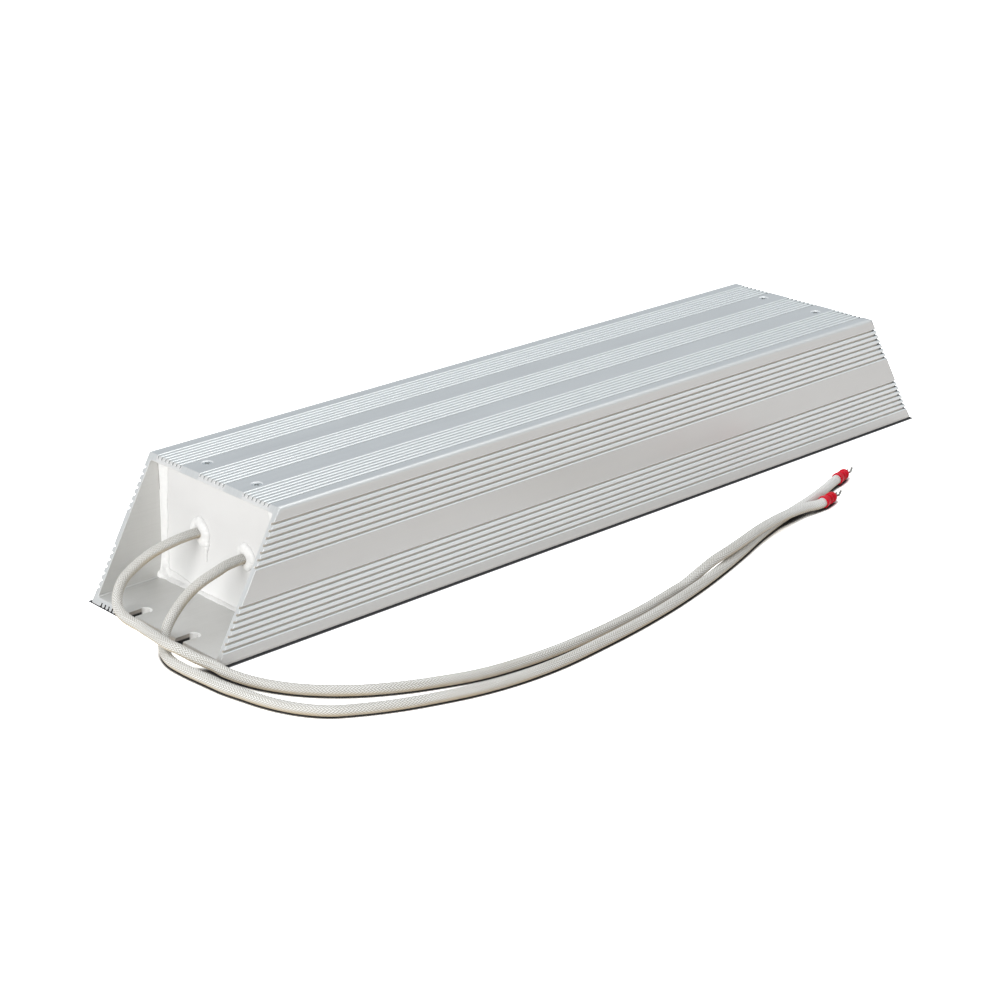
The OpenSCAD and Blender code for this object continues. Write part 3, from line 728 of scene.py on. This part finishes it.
def glass_braid():
    """Strands that wind both ways round a lead and pass over and under each other, with grey gaps. The braid has faint
    streaks along it; painted shade makes it darker where it rises off the floor and brown underneath, and painted light
    makes it paler near the terminals."""
    s = Shader("glass_braid")
    uv = s.node("ShaderNodeSeparateXYZ", None, Vector=s.node("ShaderNodeUVMap", {"uv_map": "UVMap"}).outputs[0]).outputs
    around, lays = s.product(uv[0], float(CARRIERS)), s.math("DIVIDE", uv[1], LAY * MM)
    a, b = s.plus(around, lays), s.minus(around, lays)
    count = s.plus(s.math("FLOOR", a), s.math("FLOOR", b))
    over = s.math("FLOORED_MODULO", s.math("FLOOR", s.math("DIVIDE", count, 2.0)), 2.0)
    under = s.minus(1.0, over)
    arch_a, arch_b = (s.math("SINE", s.product(s.math("FRACT", strand), math.pi)) for strand in (a, b))
    crown_a = s.product(arch_a, s.math("MULTIPLY_ADD", arch_b, 0.25, 0.75))
    crown_b = s.product(arch_b, s.math("MULTIPLY_ADD", arch_a, 0.25, 0.75))
    crown = s.plus(s.product(crown_a, over), s.product(crown_b, under))
    fibre_a, fibre_b = (
        s.noise(s.node("ShaderNodeCombineXYZ", None, X=s.product(p, 6.0), Y=s.product(q, 0.7)).outputs[0], 1.0, 2.0)
        for p, q in ((a, b), (b, a))
    )
    fibre = s.plus(s.product(fibre_a, over), s.product(fibre_b, under))
    cloud = s.noise(s.place(), 60.0, 4.0)
    turn = s.product(uv[0], 2 * math.pi)
    lengthwise = s.node(
        "ShaderNodeCombineXYZ", None, X=s.math("SINE", turn), Y=s.math("COSINE", turn), Z=s.product(uv[1], 14.0)
    )
    streak = s.noise(lengthwise.outputs[0], 3.2, 3.0)
    here, facing = s.position(), s.facing()

    thread = s.mix(s.span(cloud, 0.3, 0.7), (0.88, 0.88, 0.862), (0.92, 0.92, 0.905))
    thread = s.mix(s.span(fibre, 0.5, 0.75, 0.0, 0.5), thread, (0.62, 0.58, 0.5))
    gap = s.mix(s.span(cloud, 0.3, 0.7), (0.36, 0.34, 0.29), (0.44, 0.42, 0.37))
    colour = s.mix(s.span(crown, 0.28, 0.8), gap, thread)
    colour = s.mix(s.span(streak, 0.42, 0.62, 0.0, 0.4), colour, (0.52, 0.49, 0.43))
    # Painted shade: darker where the lead rises off the floor towards the plate.
    colour = s.mix(s.span(here[2], 7 * MM, 20 * MM, 0.0, 0.6), colour, (0.54, 0.53, 0.5))
    # Painted light: paler towards the terminals.
    colour = s.mix(s.span(here[0], 20 * MM, 90 * MM, 0.0, 0.5), colour, (0.95, 0.95, 0.94))
    # Painted shade: a brown tint on the faces that look down, varied by the cloud.
    painted_underside_shade = s.product(s.span(facing[2], -0.45, 0.15, 0.8, 0.0), s.span(cloud, 0.3, 0.6, 0.6, 1.0))
    colour = s.mix(painted_underside_shade, colour, (0.52, 0.41, 0.25))
    height = s.plus(crown, s.product(fibre, 0.35))
    return s.finish(
        Base_Color=colour,
        Roughness=s.span(fibre, 0.3, 0.7, 0.5, 0.65),
        Normal=s.bump(height, 0.00022, 1.0),
        Sheen_Weight=0.1,
        Sheen_Roughness=0.4,
    )


def red_vinyl():
    s = Shader("red_vinyl")
    wave = s.noise(s.place(), 500.0, 3.0)
    cloud = s.noise(s.place(), 150.0, 2.0)
    colour = s.mix(s.span(cloud, 0.35, 0.7), (0.55, 0.001, 0.012), (0.68, 0.002, 0.024))
    return s.finish(
        Base_Color=colour,
        Roughness=s.span(cloud, 0.3, 0.7, 0.12, 0.18),
        Normal=s.bump(wave, 0.00004, 0.4),
        Specular_IOR_Level=0.12,
    )


def metal(name, low, high, rough, scale):
    s = Shader(name)
    fine = s.noise(s.place(), scale, 4.0)
    broad = s.noise(s.place(), scale / 9, 3.0)
    colour = s.mix(s.span(broad, 0.3, 0.7), low, high)
    return s.finish(
        Base_Color=colour,
        Metallic=1.0,
        Roughness=s.span(fine, 0.3, 0.7, rough - 0.06, rough + 0.08),
        Normal=s.bump(fine, 0.00003, 0.5),
    )


def mineral(name, low, high, rough, scale, depth=0.0001):
    s = Shader(name)
    fine = s.noise(s.place(), scale, 6.0, 0.65)
    spots = s.node("ShaderNodeTexVoronoi", None, Vector=s.place(), Scale=scale * 0.7).outputs[0]
    share = s.product(s.span(fine, 0.3, 0.7), s.span(spots, 0.0, 0.6, 0.6, 1.0))
    return s.finish(
        Base_Color=s.mix(share, low, high),
        Roughness=s.span(fine, 0.3, 0.7, rough - 0.08, rough + 0.08),
        Normal=s.bump(fine, depth, 0.6),
    )


MATERIALS = {
    "anodised_aluminium": aluminium(),
    "painted_plate": painted_plate(),
    "plated_screw": screw_steel(),
    "silicone_sealant": silicone(),
    "glass_braid": glass_braid(),
    "red_vinyl": red_vinyl(),
    "tinned_copper": metal("tinned_copper", (0.34, 0.31, 0.28), (0.56, 0.53, 0.49), 0.3, 1200.0),
    "band_steel": metal("band_steel", (0.5, 0.51, 0.52), (0.62, 0.63, 0.64), 0.32, 900.0),
    "resistance_ribbon": metal("resistance_ribbon", (0.2, 0.19, 0.19), (0.36, 0.35, 0.36), 0.42, 700.0),
    "mica": mineral("mica", (0.34, 0.25, 0.13), (0.56, 0.45, 0.28), 0.55, 260.0),
    "ceramic": mineral("ceramic", (0.7, 0.65, 0.56), (0.82, 0.78, 0.7), 0.7, 400.0),
    "cement_filler": mineral("cement_filler", (0.52, 0.48, 0.41), (0.74, 0.7, 0.62), 0.85, 300.0, 0.0003),
}

for sub in frame["record"]["subparts"]:
    shown = frame["nodes"][sub["node"]]
    shown.data.materials.clear()
    shown.data.materials.append(MATERIALS[sub["material_slot"]])
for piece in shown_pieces():
    if "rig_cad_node" not in piece:
        piece.data.materials.clear()
        piece.data.materials.append(MATERIALS[piece["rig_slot"]])

# ---------------------------------------------------------------- floor, light and background

FLOOR_DROP = 0.0001
floor_mesh = bpy.data.meshes.new("floor")
floor_mesh.from_pydata([(-4, -4, 0), (4, -4, 0), (4, 4, 0), (-4, 4, 0)], [], [(0, 1, 2, 3)])
floor = bpy.data.objects.new("floor", floor_mesh)
floor.location = (0, 0, -FLOOR_DROP)
bpy.context.scene.collection.objects.link(floor)


def pale_floor():
    """White where the camera sees it, with the shadows that fall on it and a painted contact shadow: a dark line drawn
    from ambient occlusion round what stands on it, and along the housing also from the distance to its footprint. Other
    rays see a plain pale floor."""
    s = Shader("floor")
    rays = s.node("ShaderNodeLightPath").outputs
    clear = s.node("ShaderNodeAmbientOcclusion", {"samples": 16}, Distance=4.4 * MM).outputs["AO"]
    here = s.position()
    # Painted shadow: a dark line along the housing, drawn from the distance outside its footprint.
    off_end = s.product(s.minus(s.size(here[0]), HALF_LENGTH * MM), 3.2)
    off_side = s.minus(s.size(here[1]), HALF_WIDTH * MM)
    off_housing = s.rise(s.math("MAXIMUM", off_end, off_side), 1.7, 3.2)
    # Painted contact shadow: dark where the floor is occluded or close to the housing.
    open_floor = s.math("MINIMUM", s.span(clear, 0.42, 0.7), off_housing)
    contact = s.mix(open_floor, (0.055, 0.055, 0.058), (2.3, 2.3, 2.3))
    seen = s.mix(rays["Is Camera Ray"], (0.93, 0.91, 0.88), contact)
    diffuse = s.node("ShaderNodeBsdfDiffuse", None, Color=seen)
    out = s.node("ShaderNodeOutputMaterial")
    s.tree.links.new(diffuse.outputs[0], out.inputs[0])
    return s.material


floor.data.materials.append(pale_floor())


def studio_world():
    """Pale light from all round. The camera sees plain white behind the floor, and metal reflects a pale sky."""
    world = bpy.data.worlds.new("world")
    world.use_nodes = True
    tree = world.node_tree
    tree.nodes.clear()
    rays = tree.nodes.new("ShaderNodeLightPath").outputs

    def background(colour, strength):
        made = tree.nodes.new("ShaderNodeBackground")
        made.inputs[0].default_value = (*colour, 1.0)
        made.inputs[1].default_value = strength
        return made.outputs[0]

    def choose(share, first, second):
        made = tree.nodes.new("ShaderNodeMixShader")
        for socket, value in zip(made.inputs, (share, first, second)):
            tree.links.new(value, socket)
        return made.outputs[0]

    light = background((0.96, 0.98, 1.0), 0.46)
    sky = background((0.69, 0.755, 0.8), 1.0)
    white = background((1.0, 1.0, 1.0), 1.0)
    shown = choose(rays["Is Glossy Ray"], light, sky)
    shown = choose(rays["Is Transmission Ray"], shown, white)
    shown = choose(rays["Is Camera Ray"], shown, white)
    out = tree.nodes.new("ShaderNodeOutputWorld")
    tree.links.new(shown, out.inputs[0])
    return world


bpy.context.scene.world = studio_world()


def lamp(name, place, target, size, power):
    data = bpy.data.lights.new(name, "AREA")
    data.shape = "DISK"
    data.size = size
    data.energy = power
    light = bpy.data.objects.new(name, data)
    light.location = place
    light.rotation_euler = (Vector(target) - Vector(place)).to_track_quat("-Z", "Y").to_euler()
    bpy.context.scene.collection.objects.link(light)
    return light


lamp("key", (-2.4, -0.45, 0.95), (-0.1, 0.0, 0.0), 1.5, 43.0)
lamp("top", (0.5, 0.2, 2.3), (0.1, 0.0, 0.0), 1.6, 20.0)
lamp("edge", (1.55, -0.92, 1.7), (0.0, 0.0, 0.05), 0.9, 3.6)

bpy.context.scene.view_settings.view_transform = "Standard"
